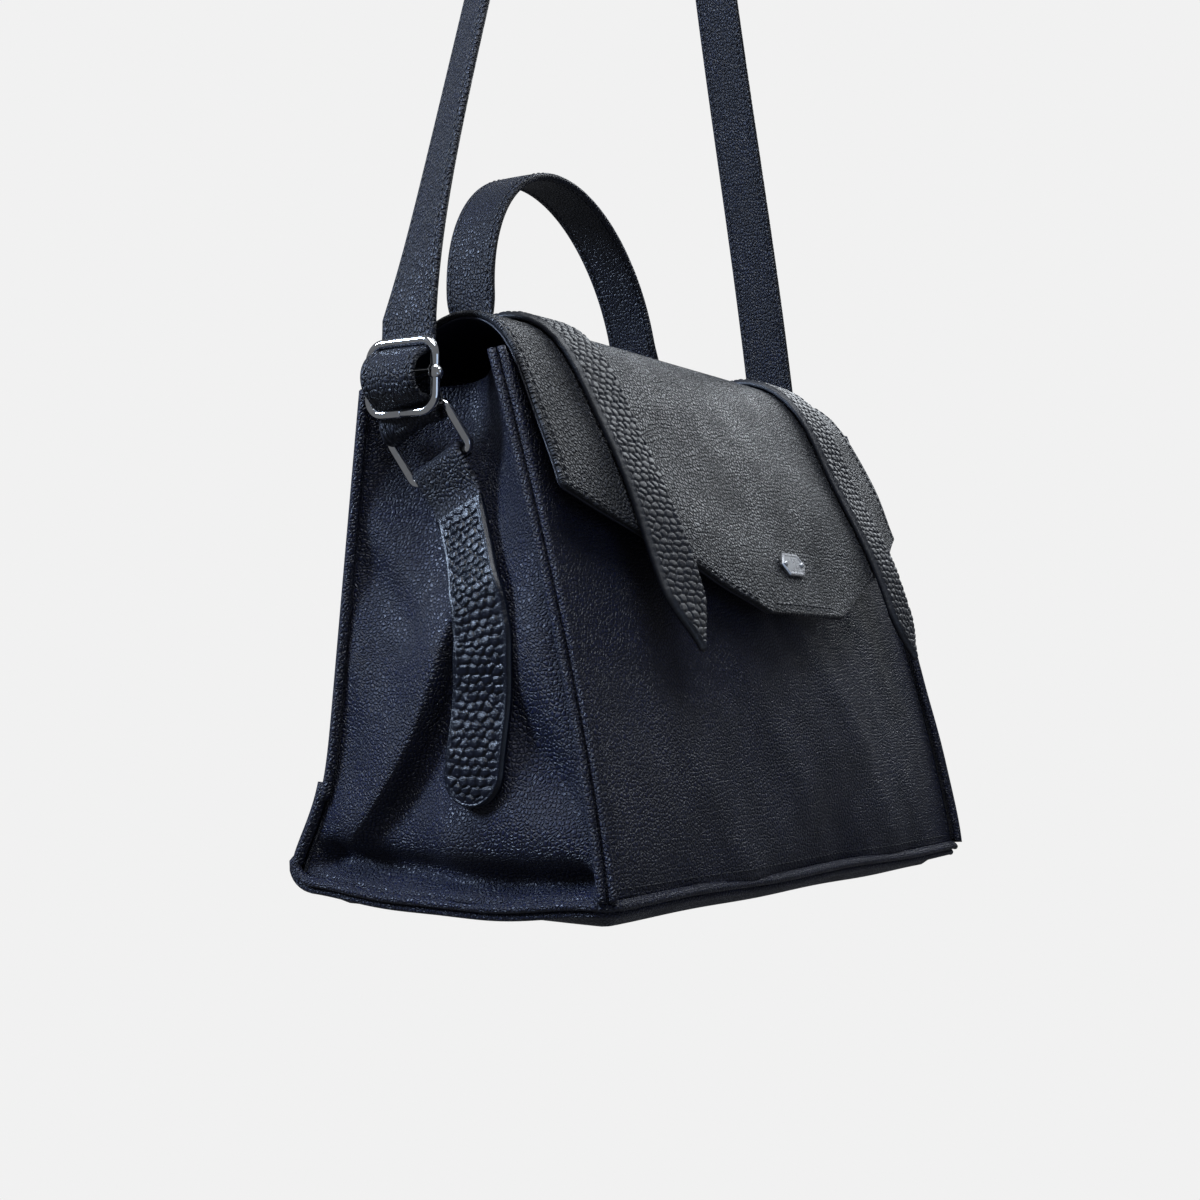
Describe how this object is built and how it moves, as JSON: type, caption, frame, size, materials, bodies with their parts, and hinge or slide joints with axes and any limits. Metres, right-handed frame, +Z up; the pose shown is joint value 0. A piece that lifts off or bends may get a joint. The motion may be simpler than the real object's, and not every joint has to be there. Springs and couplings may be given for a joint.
{
  "type": "satchel handbag",
  "caption": "Structured leather satchel with front flap, top handle and adjustable shoulder strap, shown hanging from its strap.",
  "frame": {"origin": "inside of the top bend of the shoulder strap, the point the bag hangs from", "axes": "+Z up, the flap and front panel face -Y, +X runs to the right when the front is looked at from -Y"},
  "size_m": [0.3384, 0.1623, 0.8057],
  "materials": {
    "pebbled_leather": "pebbled grain, semi-matte, near-black navy",
    "smooth_leather": "smooth, semi-matte, near-black navy",
    "embossed_leather": "scale-embossed, glossy, near-black navy",
    "seam_leather": "turned seam edge, semi-matte",
    "cotton_lining": "plain woven, dark grey",
    "stiffener_board": "matte",
    "nickel_plated_wire": "polished nickel plate",
    "satin_metal_plate": "satin",
    "snap_metal": "satin"
  },
  "bodies": {
    "strap": {"shoulder_strap": "pebbled_leather"},
    "bag": {"front_panel": "pebbled_leather", "back_panel": "pebbled_leather", "gusset_left": "pebbled_leather", "gusset_right": "pebbled_leather", "base_panel": "pebbled_leather", "base_board": "stiffener_board", "lining": "cotton_lining", "facing_front": "smooth_leather", "facing_back": "smooth_leather", "slip_pocket": "cotton_lining", "welt_front_left": "seam_leather", "welt_front_right": "seam_leather", "welt_back_left": "seam_leather", "welt_back_right": "seam_leather", "welt_base": "seam_leather", "flap_root": "pebbled_leather", "snap_socket": "snap_metal", "side_tab_left": "embossed_leather", "side_tab_right": "embossed_leather", "ring_left": "nickel_plated_wire", "ring_right": "nickel_plated_wire", "slider_left": "nickel_plated_wire", "slider_right": "nickel_plated_wire", "slider_bar_left": "nickel_plated_wire", "slider_bar_right": "nickel_plated_wire", "strap_end_left": "pebbled_leather", "strap_end_right": "pebbled_leather", "handle_root_left": "pebbled_leather", "handle_root_right": "pebbled_leather"},
    "flap_body": {"flap": "pebbled_leather", "flap_lining": "smooth_leather", "flap_strap_left": "embossed_leather", "flap_strap_right": "embossed_leather", "badge": "satin_metal_plate", "snap_stud": "snap_metal"},
    "handle_body": {"handle": "pebbled_leather"}
  },
  "joints": [
    {"name": "bag_swing", "type": "hinge", "parent": "strap", "child": "bag", "pos_m": [0, 0, -0.539], "axis": [1, 0, 0], "range_deg": [-8, 8]},
    {"name": "flap_open", "type": "hinge", "parent": "bag", "child": "flap_body", "pos_m": [0, 0.0247, -0.5813], "axis": [-1, 0, 0], "range_deg": [0, 32]},
    {"name": "handle_fold", "type": "hinge", "parent": "bag", "child": "handle_body", "pos_m": [0, 0.02853, -0.5935], "axis": [-1, 0, 0], "range_deg": [0, 80], "stiffness_Nm_per_rad": 0.3, "springref_deg": -5.73}
  ]
}
